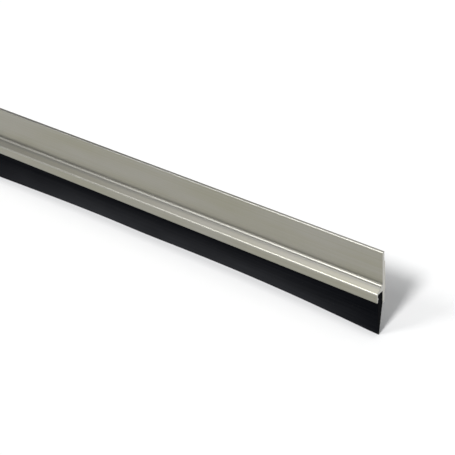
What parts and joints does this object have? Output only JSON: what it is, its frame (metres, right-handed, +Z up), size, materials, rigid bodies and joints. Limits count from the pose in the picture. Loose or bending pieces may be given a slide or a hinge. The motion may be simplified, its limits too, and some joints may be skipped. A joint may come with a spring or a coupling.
{
  "type": "door draught strip",
  "caption": "Self-adhesive draught strip for the foot of a door: an extruded aluminium carrier with a lipped channel that grips a tapering black rubber blade.",
  "frame": {"origin": "centre of the back face, the face of the tape's liner that goes against the door", "axes": "+X along the strip, +Y out of the back into the door, +Z up, with the blade below"},
  "size_m": [0.914, 0.006, 0.0397],
  "materials": {
    "anodised_aluminium": "satin silver anodised, with fine lengthwise extrusion lines",
    "blade_rubber": "matt black extruded rubber",
    "mounting_tape": "white double-sided tape with a tacky face",
    "release_paper": "smooth waxed paper"
  },
  "bodies": {
    "root": {"carrier": "anodised_aluminium", "blade": "blade_rubber", "adhesive_tape": "mounting_tape", "release_liner": "release_paper"}
  },
  "joints": []
}
